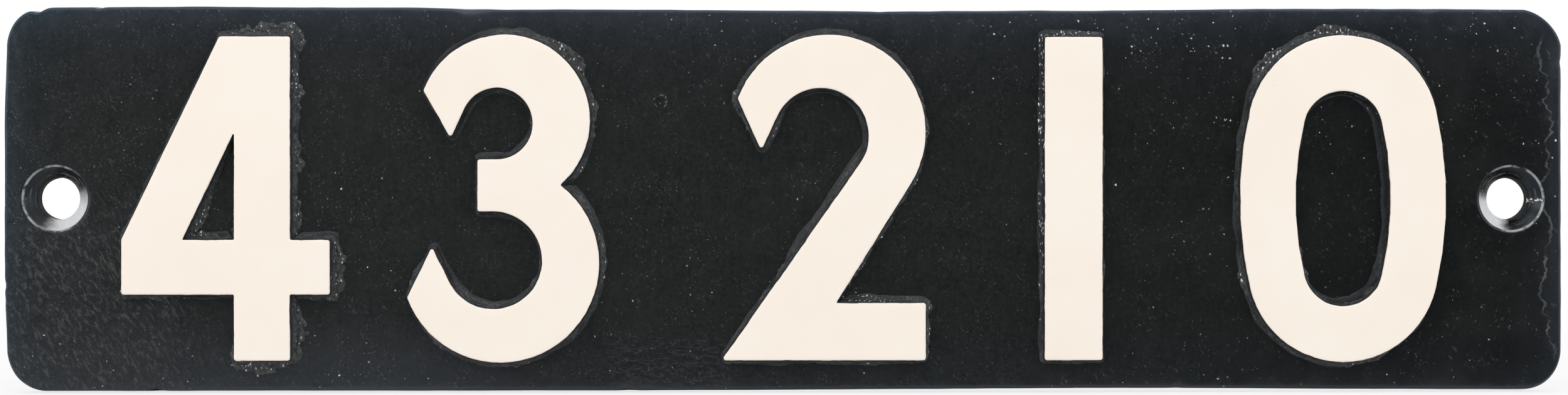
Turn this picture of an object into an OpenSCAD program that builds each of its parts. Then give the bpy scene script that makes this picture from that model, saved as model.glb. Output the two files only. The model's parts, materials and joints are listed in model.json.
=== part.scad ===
// Locomotive number plate: an iron casting with raised numerals, cream enamel on their faces,
// and two countersunk holes for the bolts that hold it to the smokebox door.
// X runs along the plate, Z is up, the front faces -Y, and the origin is the middle of the back face.

/* [Plate] */
// Length of the plate at its back
plate_length = 597; // [590:1:700]
// Height of the plate at its back
plate_height = 148; // [138:1:200]
// Thickness from the back to the ground of the front
plate_thickness = 10; // [8:0.5:16]
// Radius of the four corners in front view
corner_radius = 15; // [8:0.5:30]
// Draft of the outer edge, in degrees
edge_draft = 5; // [1:0.5:10]
// Rounding where the outer edge meets the front
edge_round = 3; // [1:0.25:4]

/* [Fixing holes] */
// Distance from each end of the plate to the centre of its hole
hole_inset = 20.7; // [18:0.1:22]
// Diameter of the straight part of each hole
hole_diameter = 16; // [10:0.5:18]
// Diameter of the countersink at the front
countersink_diameter = 26; // [20:0.5:28]
// Included angle of the countersink, in degrees
countersink_angle = 90; // [80:5:110]

/* [Relief] */
// Height of the numerals above the ground
relief = 4.5; // [3:0.25:8]
// Draft of the numeral walls, in degrees
wall_draft = 10; // [2:1:15]
// Radius of the fillet where the walls meet the ground
root_fillet = 1.6; // [0.4:0.2:2]
// Radius of the outward corners of the faces in front view
corner_soft = 1; // [0.4:0.1:2]
// Thickness of the enamel on the faces
enamel_thickness = 0.3; // [0.2:0.05:0.5]
// How far the enamel stops short of the edge of a face
enamel_margin = 0.3; // [0.1:0.05:0.5]

/* [Row of numerals] */
// Height of the numerals with flat ends
numeral_height = 123; // [115:0.5:126]
// How far round numerals pass the flat ones, above and below
overshoot = 0.8; // [0:0.1:1.5]
// Gap between the four and the three
gap_four_three = 29; // [15:0.5:32]
// Gap between the three and the two
gap_three_two = 46; // [15:0.5:50]
// Gap between the two and the one
gap_two_one = 45; // [15:0.5:50]
// Gap between the one and the zero
gap_one_zero = 52; // [15:0.5:56]

/* [Numeral four] */
// Overall width of the four
four_width = 79; // [72:0.5:82]
// How far the bar of the four passes its stem
four_arm = 15; // [10:0.5:20]
// Width of the stem of the four
four_stem = 21.5; // [18:0.5:24]
// Thickness of the bar of the four
four_bar = 21; // [18:0.5:24]
// Height of the underside of the bar above the base line
four_bar_rise = 25; // [18:0.5:32]
// Thickness of the diagonal of the four
four_diagonal = 21; // [18:0.5:23]
// Width of the flat top of the four
four_top = 27; // [24:0.5:32]

/* [Numeral three] */
// Height of the middle of the three's bar above the base line
three_waist = 66.5; // [63:0.5:70]
// How far the outer circle of each bowl passes the middle of the bar
three_overlap = 8; // [6:0.5:10]
// How far the upper bowl of the three stands back from the lower one at the right
three_set_back = 3.5; // [0:0.5:6]
// Width of the stroke at the right of both bowls
three_side = 22; // [19:0.5:24]
// Thickness of the stroke at the top and the bottom of the three
three_end = 20.5; // [18:0.5:22]
// Thickness of the middle bar of the three
three_bar = 20; // [17:0.5:22]
// How far the middle bar passes the centres of both inner circles
three_bar_reach = 6; // [2:0.5:10]
// Gap between the tip of the upper hook and the bar
three_upper_mouth = 7.5; // [6:0.5:10]
// Gap between the tip of the lower hook and the bar
three_lower_mouth = 12.5; // [6:0.5:14]

/* [Numeral two] */
// Overall width of the two
two_width = 78; // [75:0.5:80]
// Outer radius of the bowl of the two
two_radius = 37; // [35:0.5:38]
// Width of the stroke at the right of the bowl
two_side = 22; // [20:0.5:24]
// Thickness of the stroke at the top of the bowl
two_top = 20.5; // [18:0.5:22]
// Inner radius of the bowl
two_inner_radius = 18; // [16:0.5:20]
// Straight length of the inner side of the hook of the two
two_hook = 15; // [12:0.5:17]
// Thickness of the foot of the two
two_foot = 22; // [19:0.5:25]
// Distance from the left of the two to the corner where the diagonal meets the top of the foot
two_corner = 44; // [40:0.5:47]

/* [Numeral one] */
// Width of the bar that is the one
one_width = 22.3; // [19:0.1:26]

/* [Numeral zero] */
// Overall width of the zero
zero_width = 79; // [76:0.5:82]
// Outer radius of the ends of the zero
zero_end_radius = 36.5; // [34:0.5:37]
// Width of the stroke of the zero, the same all round
zero_stroke = 21.5; // [19:0.5:24]

/* [Hidden] */
$fn = 96;

iron_black = [0.07, 0.075, 0.08];
enamel_cream = [0.97, 0.93, 0.86];

// How far a cutting tool passes the faces that it opens
cut_past = 1;
// Points nearer than this are one point
same_point = 0.001;
// Most degrees between points along a stroke, at a soft corner, at the outer edge and in a root fillet
curve_step = 6;
corner_step = 36;
edge_step = 15;
fillet_step = 27;
// A loop that turns by less than this at a point is following a curve there
corner_turn = 15;
// Where the end of a hook cuts the outer circle, in degrees from the bowl's level diameter
hook_outer = 20;
// Where the inner side of a hook leaves the inner circle and runs straight, in degrees from that diameter
hook_inner = 25;

hole_x = plate_length / 2 - hole_inset;
countersink_depth = (countersink_diameter - hole_diameter) / 2 / tan(countersink_angle / 2);

three_lower_radius = (three_waist + overshoot + three_overlap) / 2;
three_upper_radius = (numeral_height + overshoot - three_waist + three_overlap) / 2;
three_width = three_lower_radius * (1 + cos(hook_outer));

row_width = four_width + gap_four_three + three_width + gap_three_two + two_width
    + gap_two_one + one_width + gap_one_zero + zero_width;
four_x = -row_width / 2;
three_x = four_x + four_width + gap_four_three;
two_x = three_x + three_width + gap_three_two;
one_x = two_x + two_width + gap_two_one;
zero_x = one_x + one_width + gap_one_zero;

// Section of the outer edge, from the centre of a corner outwards and from the back to the front
edge_wall = plate_thickness - edge_round;
edge_centre = [corner_radius - (edge_round + edge_wall * sin(edge_draft)) / cos(edge_draft), edge_wall];
edge_section = concat([[0, 0], [corner_radius, 0]],
                      arc(edge_centre, edge_round, edge_draft, 90, edge_step),
                      [[0, plate_thickness]]);

// Section of a numeral's wall, as steps of [distance out from the face, height above the ground]
fillet_out = (root_fillet * (1 - sin(wall_draft)) + relief * sin(wall_draft)) / cos(wall_draft);
wall_steps = concat(arc([fillet_out, root_fillet], root_fillet, 270, 180 + wall_draft, fillet_step),
                    [[0, relief]]);

// Points along an arc from one angle to another
function arc(centre, radius, from, to, step = curve_step) =
    let (count = ceil(abs(to - from) / step))
    [for (i = [0:count])
        let (angle = from + (to - from) * i / count)
        centre + radius * [cos(angle), sin(angle)]];

function angle_from(centre, point) = atan2(point.y - centre.y, point.x - centre.x);
function way_to(a, b) = (b - a) / norm(b - a);
function right_of(way) = [way.y, -way.x];
function before(loop, i) = loop[(i + len(loop) - 1) % len(loop)];
function after(loop, i) = loop[(i + 1) % len(loop)];

// Angle on a circle of the point where a line from below touches its right side
function touch_angle(point, centre, radius) =
    angle_from(point, centre) - asin(radius / norm(centre - point)) - 90;

// Point where two circles, one above the other, cross at the right
function crossing(low, low_radius, high, high_radius) =
    let (apart = norm(high - low),
         along = (apart ^ 2 + low_radius ^ 2 - high_radius ^ 2) / (2 * apart),
         aside = sqrt(low_radius ^ 2 - along ^ 2))
    low + along * way_to(low, high) + aside * right_of(way_to(low, high));

// Tip of a hook whose inner side leaves a circle at an angle and runs straight, anticlockwise of it
function hook_tip(centre, radius, angle, straight) =
    centre + radius * [cos(angle), sin(angle)] + straight * [-sin(angle), cos(angle)];

// An oval of four arcs about its centre, from the lower end of its right flank
function oval(half_width, half_height, end_radius) =
    let (rise = half_height - end_radius,
         flank_radius = (half_width ^ 2 + rise ^ 2 - end_radius ^ 2) / 2 / (half_width - end_radius),
         reach = flank_radius - half_width,
         bend = atan2(rise, reach),
         half = concat(arc([-reach, 0], flank_radius, -bend, bend),
                       arc([0, rise], end_radius, bend, 180 - bend)))
    concat(half, -half);

// A loop without the points that repeat the one before
function no_repeats(loop) = [for (i = [0:len(loop) - 1])
    if (norm(loop[i] - before(loop, i)) > same_point) loop[i]];

// Angle by which a loop turns at one of its points, positive at an outward corner
function turn_at(loop, i) =
    let (into = way_to(before(loop, i), loop[i]),
         out = way_to(loop[i], after(loop, i)))
    atan2(into.x * out.y - into.y * out.x, into * out);

// A loop with its outward corners rounded
function soften(loop) = [for (i = [0:len(loop) - 1])
    let (turn = turn_at(loop, i))
    each turn < corner_turn ? [loop[i]] : soft_corner(before(loop, i), loop[i], turn)];

function soft_corner(previous, corner, turn) =
    let (into = way_to(previous, corner),
         side = right_of(into),
         centre = corner - corner_soft * tan(turn / 2) * into - corner_soft * side,
         from = atan2(side.y, side.x))
    arc(centre, corner_soft, from, from + turn, corner_step);

// A loop moved away from the metal by a distance, with mitred corners
function spread(loop, distance) = [for (i = [0:len(loop) - 1])
    let (side_in = right_of(way_to(before(loop, i), loop[i])),
         side_out = right_of(way_to(loop[i], after(loop, i))))
    loop[i] + distance * (side_in + side_out) / (1 + side_in * side_out)];

// Faces of the numerals as loops of points. The outer loop runs anticlockwise. A counter in it runs
// clockwise, and the first points of the two loops face each other across the stroke.
function four_loops() =
    let (stem_right = four_width - four_arm,
         stem_left = stem_right - four_stem,
         bar_top = four_bar_rise + four_bar,
         shoulder = [0, bar_top],
         top_left = [stem_right - four_top, numeral_height],
         side = right_of(way_to(shoulder, top_left)),
         counter_left = four_diagonal / side.x,
         counter_top = bar_top + (four_diagonal - stem_left * side.x) / side.y)
    [soften([[stem_left, four_bar_rise], [stem_left, 0], [stem_right, 0], [stem_right, four_bar_rise],
             [four_width, four_bar_rise], [four_width, bar_top], [stem_right, bar_top],
             [stem_right, numeral_height], top_left, shoulder, [0, four_bar_rise]]),
     [[stem_left, bar_top], [counter_left, bar_top], [stem_left, counter_top]]];

function three_loops() =
    let (lower = [three_width - three_lower_radius, three_lower_radius - overshoot],
         upper = [three_width - three_set_back - three_upper_radius,
                  numeral_height + overshoot - three_upper_radius],
         waist = crossing(lower, three_lower_radius, upper, three_upper_radius),
         top = numeral_height + overshoot - three_end,
         bottom = three_end - overshoot,
         bar_top = three_waist + three_bar / 2,
         bar_bottom = three_waist - three_bar / 2,
         upper_inner = (top - bar_top) / 2,
         lower_inner = (bar_bottom - bottom) / 2,
         upper_centre = [three_width - three_set_back - three_side - upper_inner, top - upper_inner],
         lower_centre = [three_width - three_side - lower_inner, bottom + lower_inner],
         upper_drop = upper_inner * (1 + sin(hook_inner)) - three_upper_mouth,
         lower_rise = lower_inner * (1 + sin(hook_inner)) - three_lower_mouth,
         bar_left = min(upper_centre.x, lower_centre.x) - three_bar_reach)
    [soften(no_repeats(concat(
        arc(lower, three_lower_radius, hook_outer - 180, angle_from(lower, waist)),
        arc(upper, three_upper_radius, angle_from(upper, waist), 180 - hook_outer),
        [hook_tip(upper_centre, upper_inner, 180 - hook_inner, upper_drop / cos(hook_inner))],
        arc(upper_centre, upper_inner, 180 - hook_inner, -90),
        [[bar_left, bar_top], [bar_left, bar_bottom]],
        arc(lower_centre, lower_inner, 90, hook_inner - 180),
        [hook_tip(lower_centre, lower_inner, hook_inner - 180, -lower_rise / cos(hook_inner))])))];

function two_loops() =
    let (bowl = [two_width - two_radius, numeral_height + overshoot - two_radius],
         top = numeral_height + overshoot - two_top,
         inner = [two_width - two_side - two_inner_radius, top - two_inner_radius],
         tip = [0, 0],
         corner = [two_corner, two_foot])
    [soften(no_repeats(concat(
        [tip, [two_width, 0], [two_width, two_foot], corner],
        arc(bowl, two_radius, touch_angle(corner, bowl, two_radius), 180 - hook_outer),
        [hook_tip(inner, two_inner_radius, 180 - hook_inner, two_hook)],
        arc(inner, two_inner_radius, 180 - hook_inner, touch_angle(tip, inner, two_inner_radius)))))];

function one_loops() =
    [soften([[0, 0], [one_width, 0], [one_width, numeral_height], [0, numeral_height]])];

function zero_loops() =
    let (half_width = zero_width / 2,
         half_height = numeral_height / 2 + overshoot,
         centre = [half_width, numeral_height / 2],
         outer = no_repeats(oval(half_width, half_height, zero_end_radius)),
         inner = no_repeats(oval(half_width - zero_stroke, half_height - zero_stroke,
                                 zero_end_radius - zero_stroke)))
    [[for (point = outer) centre + point],
     [for (i = [0:len(inner) - 1]) centre + inner[(len(inner) - i) % len(inner)]]];

// Numbers of a loop's points in the list of all points of a face
function path_of(loops, k) =
    let (start = k == 0 ? 0 : len(loops[0]))
    [for (i = [0:len(loops[k]) - 1]) start + i];

// One path round a face, which crosses to the counter and back where there is one
function round_face(loops) =
    len(loops) == 1 ? path_of(loops, 0)
    : concat(path_of(loops, 0), [0], path_of(loops, 1), [len(loops[0])]);

function flat_points(loops, distance) = [for (loop = loops) each spread(loop, distance)];

// Twice the area of a triangle, positive where it runs anticlockwise
function area_of(a, b, c) = (b.x - a.x) * (c.y - a.y) - (b.y - a.y) * (c.x - a.x);

function covers(a, b, c, point) =
    point != a && point != b && point != c
    && area_of(a, b, point) >= 0 && area_of(b, c, point) >= 0 && area_of(c, a, point) >= 0;

// Whether the corner of a path can be cut off as a triangle that holds no other point
function is_ear(points, path, i) =
    let (a = points[before(path, i)],
         b = points[path[i]],
         c = points[after(path, i)])
    area_of(a, b, c) > same_point && len([for (k = path) if (covers(a, b, c, points[k])) k]) == 0;

function first_ear(points, path, i = 0) =
    assert(i < len(path), "the outline of a numeral crosses itself")
    is_ear(points, path, i) ? i : first_ear(points, path, i + 1);

// Triangles that fill a path, cut off one corner at a time
function triangles(points, path) =
    len(path) == 3 ? [path]
    : let (ear = first_ear(points, path))
      concat([[before(path, ear), path[ear], after(path, ear)]],
             triangles(points, [for (i = [0:len(path) - 1]) if (i != ear) path[i]]));

// Relief of a numeral: its face carried down to the ground by the draft and the root fillet
module cast_relief(loops) {
    size = len(flat_points(loops, 0));
    last = len(wall_steps) - 1;
    points = [for (step = wall_steps)
        for (point = flat_points(loops, step[0])) [point.x, point.y, step[1]]];
    walls = [for (level = [0:last - 1]) for (k = [0:len(loops) - 1])
        let (path = path_of(loops, k))
        for (i = [0:len(path) - 1])
        let (a = level * size + path[i],
             b = level * size + after(path, i))
        each [[a, a + size, b + size], [a, b + size, b]]];
    ground = triangles(flat_points(loops, wall_steps[0][0]), round_face(loops));
    face = [for (triangle = triangles(flat_points(loops, 0), round_face(loops)))
        [for (k = [2, 1, 0]) last * size + triangle[k]]];
    polyhedron(points, concat(walls, ground, face));
}

// Coat of enamel on the face of a numeral
module enamel_coat(loops) {
    translate([0, 0, relief])
        linear_extrude(enamel_thickness)
            polygon(flat_points(loops, -enamel_margin), [for (k = [0:len(loops) - 1]) path_of(loops, k)]);
}

// From lying on its back to standing with the front towards -Y
module stand() {
    rotate([90, 0, 0]) children();
}

module on_ground(x) {
    stand() translate([x, -numeral_height / 2, plate_thickness]) children();
}

module plate_blank() {
    straight_x = plate_length - 2 * corner_radius;
    straight_y = plate_height - 2 * corner_radius;
    translate([-straight_x / 2, -straight_y / 2, 0]) cube([straight_x, straight_y, plate_thickness]);
    for (turn = [0, 180]) rotate(turn) {
        translate([straight_x / 2, straight_y / 2, 0]) {
            rotate_extrude(angle = 90) polygon(edge_section);
            rotate([90, 0, 0]) linear_extrude(straight_y) polygon(edge_section);
        }
        translate([-straight_x / 2, straight_y / 2, 0]) {
            rotate(90) rotate_extrude(angle = 90) polygon(edge_section);
            rotate([90, 0, 90]) linear_extrude(straight_x) polygon(edge_section);
        }
    }
}

module fixing_hole() {
    translate([0, 0, -cut_past]) cylinder(h = plate_thickness + 2 * cut_past, d = hole_diameter);
    translate([0, 0, plate_thickness - countersink_depth])
        cylinder(h = countersink_depth + cut_past, d1 = hole_diameter,
                 d2 = countersink_diameter + 2 * cut_past * tan(countersink_angle / 2));
}

module ground_plate() {
    color(iron_black) stand() difference() {
        plate_blank();
        for (x = [-hole_x, hole_x]) translate([x, 0, 0]) fixing_hole();
    }
}

module numeral_four() { color(iron_black) on_ground(four_x) cast_relief(four_loops()); }
module numeral_three() { color(iron_black) on_ground(three_x) cast_relief(three_loops()); }
module numeral_two() { color(iron_black) on_ground(two_x) cast_relief(two_loops()); }
module numeral_one() { color(iron_black) on_ground(one_x) cast_relief(one_loops()); }
module numeral_zero() { color(iron_black) on_ground(zero_x) cast_relief(zero_loops()); }

module enamel_four() { color(enamel_cream) on_ground(four_x) enamel_coat(four_loops()); }
module enamel_three() { color(enamel_cream) on_ground(three_x) enamel_coat(three_loops()); }
module enamel_two() { color(enamel_cream) on_ground(two_x) enamel_coat(two_loops()); }
module enamel_one() { color(enamel_cream) on_ground(one_x) enamel_coat(one_loops()); }
module enamel_zero() { color(enamel_cream) on_ground(zero_x) enamel_coat(zero_loops()); }

ground_plate();
numeral_four();
numeral_three();
numeral_two();
numeral_one();
numeral_zero();
enamel_four();
enamel_three();
enamel_two();
enamel_one();
enamel_zero();
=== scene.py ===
"""Looks of the locomotive number plate: black enamel over rough cast iron, cream enamel on the numerals."""
import json
import math
from functools import partial, reduce

import bmesh
import bpy
import numpy as np
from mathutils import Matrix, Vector, geometry


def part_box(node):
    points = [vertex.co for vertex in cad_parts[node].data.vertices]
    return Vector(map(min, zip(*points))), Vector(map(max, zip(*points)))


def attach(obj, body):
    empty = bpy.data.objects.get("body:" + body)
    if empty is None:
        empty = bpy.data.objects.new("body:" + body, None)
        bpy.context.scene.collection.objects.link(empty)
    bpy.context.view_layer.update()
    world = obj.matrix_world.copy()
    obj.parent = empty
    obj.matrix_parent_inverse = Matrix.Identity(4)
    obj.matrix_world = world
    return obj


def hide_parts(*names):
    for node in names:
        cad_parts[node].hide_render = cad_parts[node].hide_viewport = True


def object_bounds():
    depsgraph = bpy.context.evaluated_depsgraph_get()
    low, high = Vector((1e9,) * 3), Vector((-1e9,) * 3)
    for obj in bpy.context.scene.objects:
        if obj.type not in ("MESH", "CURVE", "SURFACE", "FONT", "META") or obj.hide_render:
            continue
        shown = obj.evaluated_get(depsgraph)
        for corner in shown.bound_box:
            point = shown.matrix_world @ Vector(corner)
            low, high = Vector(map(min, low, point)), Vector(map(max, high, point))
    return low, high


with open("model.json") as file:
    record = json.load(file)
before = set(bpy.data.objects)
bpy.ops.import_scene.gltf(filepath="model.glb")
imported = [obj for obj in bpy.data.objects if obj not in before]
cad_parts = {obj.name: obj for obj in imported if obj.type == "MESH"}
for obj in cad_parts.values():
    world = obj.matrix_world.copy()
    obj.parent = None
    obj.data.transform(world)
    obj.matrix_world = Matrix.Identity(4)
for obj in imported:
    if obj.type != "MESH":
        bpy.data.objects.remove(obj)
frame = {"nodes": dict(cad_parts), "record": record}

MM = 0.001
NUMERALS = ("four", "three", "two", "one", "zero")
cad_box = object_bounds()

# Sizes in mm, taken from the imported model
LENGTH_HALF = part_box("ground_plate")[1].x / MM
HEIGHT_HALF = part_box("ground_plate")[1].z / MM
GROUND = -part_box("ground_plate")[0].y / MM
RELIEF = -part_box("numeral_one")[0].y / MM - GROUND
COAT_TOP = -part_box("enamel_one")[0].y / MM - GROUND
HOLES = [m for m in frame["record"]["mounts"] if m["kind"] == "bore"]

# Mesh spacing in mm, sides of a round hole, and angles in degrees from which an edge is shaded as sharp
GRID = 1.25
STROKE_STEP = 0.55
APRON_STEP = 0.4
HOLE_SIDES = 96
GROUND_SHARP, NUMERAL_SHARP = 40, 60
# Distances in metres at which points are one, and at which points of the CAD are in one plane
MERGE = 1e-6
FLUSH = 2e-6
# How far the foot of a numeral spreads over the ground, and its clearance from the long edges, in mm
APRON_REACH = 8.0
EDGE_CLEAR = 2.6
# Share of the room beside a line that the line may move by, and steps along it that share a normal at a corner
ROOM_SHARE = 0.985
FAN_REACH = 4


# Smooth random numbers

def lattice(ix, iz, seed):
    """Repeatable random numbers from 0 to 1 at whole-number places."""
    n = (ix * 374761393 + iz * 668265263 + seed * 974634777) & 0xFFFFFFFF
    n = ((n ^ (n >> 13)) * 1274126177) & 0xFFFFFFFF
    return ((n ^ (n >> 16)) & 0xFFFFFF) / 0xFFFFFF


def noise(x, z, size, seed):
    """Smooth noise from -1 to 1, with lumps about `size` mm across, turned so that no axis shows."""
    turn = 0.6 + seed
    u = (x * math.cos(turn) - z * math.sin(turn)) / size
    v = (x * math.sin(turn) + z * math.cos(turn)) / size
    iu, iv = np.floor(u).astype(np.int64), np.floor(v).astype(np.int64)
    fu, fv = smooth(u - iu, 0, 1), smooth(v - iv, 0, 1)
    low = lattice(iu, iv, seed) * (1 - fu) + lattice(iu + 1, iv, seed) * fu
    high = lattice(iu, iv + 1, seed) * (1 - fu) + lattice(iu + 1, iv + 1, seed) * fu
    return 2 * (low * (1 - fv) + high * fv) - 1


def smooth(value, low, high):
    """0 at `low`, 1 at `high`, and a smooth step between them."""
    t = np.clip((value - low) / (high - low), 0, 1)
    return t * t * (3 - 2 * t)


def bell(distance, width):
    """1 at no distance, and a smooth fall to 0 beyond a width."""
    return np.exp(-(distance / width) ** 2)


# Meshes

def new_object(name, data):
    """An object in the scene."""
    made = bpy.data.objects.new(name, data)
    bpy.context.scene.collection.objects.link(made)
    return made


def add_marks(mesh, marks):
    """Numbers at the points of a mesh, for its material."""
    for key, values in marks.items():
        mesh.attributes.new(key, "FLOAT", "POINT").data.foreach_set("value", np.asarray(values, np.float32))


def make_piece(name, points, faces, material, marks=None):
    """A piece of the plate from points (x, height above the back, z) in mm, with marks for its material."""
    mesh = bpy.data.meshes.new(name)
    mesh.from_pydata((np.asarray(points, float) * (MM, -MM, MM)).tolist(), [], faces)
    mesh.validate()
    add_marks(mesh, marks or {})
    mesh.materials.append(material)
    return new_object(name, mesh)


def finish_piece(piece, node, sharp):
    """Cleans the mesh of a piece, shades it and puts it in the place of a CAD node."""
    mesh = piece.data
    bm = bmesh.new()
    bm.from_mesh(mesh)
    bmesh.ops.remove_doubles(bm, verts=bm.verts, dist=MERGE)
    bmesh.ops.dissolve_degenerate(bm, edges=bm.edges, dist=MERGE)
    bmesh.ops.recalc_face_normals(bm, faces=bm.faces)
    bm.to_mesh(mesh)
    bm.free()
    mesh.shade_smooth()
    mesh.set_sharp_from_angle(angle=math.radians(sharp))
    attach(piece, "root")
    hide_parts(node)


def ring_faces(first, second, count):
    """Quads between two rings of points, given by the numbers of their first points."""
    return [(first + i, first + (i + 1) % count, second + (i + 1) % count, second + i) for i in range(count)]


def grid_faces(first, tall, wide):
    """Quads of a grid of points that are numbered row by row, and the numbers along its border, anticlockwise."""
    n = first + np.arange(tall * wide).reshape(tall, wide)
    quads = np.stack([n[:-1, :-1], n[:-1, 1:], n[1:, 1:], n[1:, :-1]], axis=-1).reshape(-1, 4)
    border = np.concatenate([n[:, -1], n[-1, -2::-1], n[-2::-1, 0], n[0, 1:-1]])
    return quads.tolist(), border.tolist()


def zip_loops(outer, inner, points):
    """Triangles between two closed loops of point numbers that run the same way."""
    start = min(range(len(inner)), key=lambda k: math.dist(points[inner[k]], points[outer[0]]))
    inner = inner[start:] + inner[:start]
    i = j = 0
    faces = []
    while i < len(outer) or j < len(inner):
        a, b = outer[i % len(outer)], inner[j % len(inner)]
        next_a, next_b = outer[(i + 1) % len(outer)], inner[(j + 1) % len(inner)]
        along_outer = j >= len(inner) or (
            i < len(outer) and math.dist(points[next_a], points[b]) < math.dist(points[a], points[next_b]))
        faces.append((a, next_a, b) if along_outer else (a, next_b, b))
        i, j = (i + 1, j) if along_outer else (i, j + 1)
    return faces


# Outlines of the numerals

def face_loops(node):
    """Loops round the front face of a CAD node, as (x, z) in mm, with the metal on the left of each."""
    bm = bmesh.new()
    bm.from_mesh(frame["nodes"][node].data)
    bmesh.ops.remove_doubles(bm, verts=bm.verts, dist=FLUSH)
    front = min(v.co.y for v in bm.verts)
    faces = [f for f in bm.faces if all(v.co.y - front < FLUSH for v in f.verts)]
    following = {}
    for face in faces:
        for corner in face.loops:
            if not any(other in faces for other in corner.edge.link_faces if other != face):
                following[corner.vert] = corner.link_loop_next.vert
    loops = []
    while following:
        vert = min(following, key=lambda v: (v.co.x, v.co.z))
        loop = []
        while vert in following:
            loop.append((vert.co.x / MM, vert.co.z / MM))
            vert = following.pop(vert)
        loops.append(np.array(loop))
    bm.free()
    return sorted(loops, key=lambda loop: -np.ptp(loop[:, 0]))


def even(loop, step):
    """The loop with points at even steps."""
    closed = np.vstack([loop, loop[:1]])
    along = np.concatenate([[0], np.cumsum(np.linalg.norm(np.diff(closed, axis=0), axis=1))])
    at = np.arange(0, along[-1] - step / 2, along[-1] / round(along[-1] / step))
    return np.column_stack([np.interp(at, along, closed[:, k]) for k in (0, 1)])


def outward(loop):
    """Unit normals that point away from the metal."""
    along = np.roll(loop, -1, 0) - np.roll(loop, 1, 0)
    along /= np.linalg.norm(along, axis=1)[:, None]
    return np.column_stack([along[:, 1], -along[:, 0]])


def room(points, normals, others):
    """How far each point can go along its normal before it is nearer to another part of the outline."""
    result = np.full(len(points), 1e3)
    for k, (point, normal) in enumerate(zip(points, normals)):
        away = others - point
        facing = away @ normal
        seen = facing > 1e-3
        if seen.any():
            result[k] = ((away[seen] ** 2).sum(1) / (2 * facing[seen])).min()
    return result


def fanned(normals, reach):
    """Normals averaged along the loop, which fan out round a corner."""
    total = sum(math.exp(-(k / reach) ** 2) * np.roll(normals, k, 0) for k in range(-2 * reach, 2 * reach + 1))
    return total / np.linalg.norm(total, axis=1)[:, None]


class Outline:
    """Loops of one numeral with their normals and the room on both sides."""

    def __init__(self, node):
        self.loops = [even(loop, STROKE_STEP) for loop in face_loops(node)]
        every = np.vstack(self.loops)
        self.normals = [outward(loop) for loop in self.loops]
        self.fans = [fanned(normals, FAN_REACH) for normals in self.normals]
        self.room_out = [np.minimum(room(p, n, every), self.room_to_edge(p, n, f))
                         for p, n, f in zip(self.loops, self.normals, self.fans)]
        self.room_in = [room(p, -n, every) for p, n in zip(self.loops, self.normals)]

    @staticmethod
    def room_to_edge(loop, normals, fans):
        """How far each point can go and stay clear of the long edges of the plate."""
        x, z = loop.T
        lean = np.maximum(np.sign(z) * normals[:, 1], np.sign(z) * fans[:, 1])
        return (HEIGHT_HALF - EDGE_CLEAR - waist(x, z) - np.abs(z)) / np.maximum(lean, 0.02)

    def moved(self, k, distance):
        """Loop k moved away from the metal by distances, fanned out far from it, and how far each point went."""
        share = smooth(distance, 0.8, 2.8)
        normals = self.normals[k] + share[:, None] * (self.fans[k] - self.normals[k])
        normals /= np.linalg.norm(normals, axis=1)[:, None]
        went = np.clip(distance, -ROOM_SHARE * self.room_in[k], ROOM_SHARE * self.room_out[k])
        return self.loops[k] + went[:, None] * normals, went


def filled(loops):
    """Triangles that fill the face between closed loops of (x, z) points, given by the numbers of the points."""
    edges, first = [], 0
    for loop in loops:
        edges += [(first + i, first + (i + 1) % len(loop)) for i in range(len(loop))]
        first += len(loop)
    places = [Vector(p) for loop in loops for p in loop]
    found, _, triangles, sources, _, _ = geometry.delaunay_2d_cdt(places, edges, [], 1, MERGE)
    middles = np.array([sum((found[i] for i in triangle), Vector((0, 0))) / 3 for triangle in triangles])
    inside = np.zeros(len(triangles), bool)
    for loop in loops:
        for (x1, z1), (x2, z2) in zip(loop, np.roll(loop, -1, 0)):
            if z1 != z2:
                crossed = (middles[:, 1] > z1) != (middles[:, 1] > z2)
                inside ^= crossed & (middles[:, 0] < x1 + (x2 - x1) * (middles[:, 1] - z1) / (z2 - z1))
    return [tuple(sources[i][0] for i in triangles[k]) for k in np.flatnonzero(inside)]


def loft(outline, steps, shape, sway, sole):
    """Points, faces and marks of a numeral's rings. `steps` are distances out from the face. The rings are closed
    by a flat face inside the first, and by a flat sole at a height. `shape` gives a ring's heights and marks."""
    points, faces, marks, top, under, faces_at = [], [], [], [], [], []
    for k, loop in enumerate(outline.loops):
        rings = []
        for step in steps:
            place, went = outline.moved(k, step + sway(loop, step))
            height, ring_marks = shape(place, went, outline.normals[k])
            rings.append((place, height))
            marks.append(ring_marks)
        for place, _ in (rings[-1], rings[0]):
            rings.append((place, np.full(len(loop), sole)))
            marks.append(ring_marks)
        count, first = len(loop), len(points)
        for level, (place, height) in enumerate(rings):
            points += np.column_stack([place[:, 0], height, place[:, 1]]).tolist()
            if level:
                faces += ring_faces(first + (level - 1) * count, first + level * count, count)
        faces_at.append(rings[0][0])
        top += range(first, first + count)
        under += range(len(points) - count, len(points))
    for triangle in filled(faces_at):
        faces += [tuple(top[i] for i in triangle), tuple(under[i] for i in reversed(triangle))]
    return points, faces, {key: np.concatenate([m[key] for m in marks]) for key in marks[0]}


# Materials

def add_node(tree, kind, inputs=None, **settings):
    """A shader node with settings, and with inputs that are constants or outputs of other nodes."""
    node = tree.nodes.new(kind)
    for key, value in settings.items():
        setattr(node, key, value)
    for key, value in (inputs or {}).items():
        if isinstance(value, bpy.types.NodeSocket):
            tree.links.new(value, node.inputs[key])
        else:
            node.inputs[key].default_value = value
    return node


def add_math(tree, operation, a, b=0.0, c=0.0):
    return add_node(tree, "ShaderNodeMath", {0: a, 1: b, 2: c}, operation=operation).outputs[0]


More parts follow.
